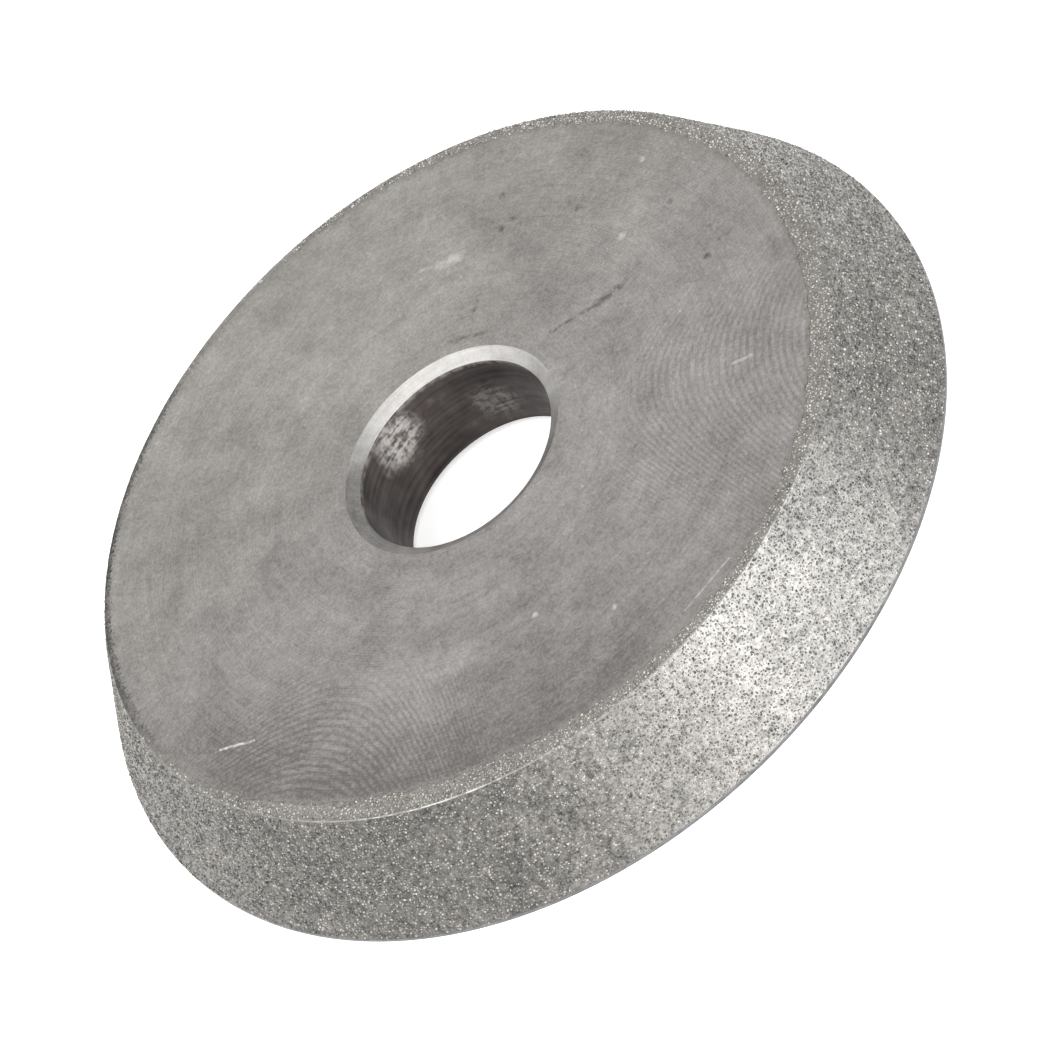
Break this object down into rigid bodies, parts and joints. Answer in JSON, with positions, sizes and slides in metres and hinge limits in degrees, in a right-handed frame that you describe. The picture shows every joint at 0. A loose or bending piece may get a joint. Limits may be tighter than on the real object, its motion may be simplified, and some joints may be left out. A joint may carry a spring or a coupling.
{
  "type": "diamond grinding wheel",
  "caption": "Flat grinding wheel with a bevelled, diamond-plated rim and a plain chamfered arbor bore, for shaping stone, glass and carbide edges.",
  "frame": {"origin": "on the bore's axis, in the plane of the wide back face that the wheel rests on", "axes": "+Z along the bore's axis, from the wide back face to the narrow front face"},
  "size_m": [0.07, 0.07, 0.0087],
  "materials": {
    "turned_steel": "turned",
    "nickel_plate": "matte plated",
    "diamond": "crushed crystal"
  },
  "bodies": {
    "wheel": {"steel_blank": "turned_steel", "nickel_bond": "nickel_plate", "diamond_grit": "diamond"}
  },
  "joints": []
}
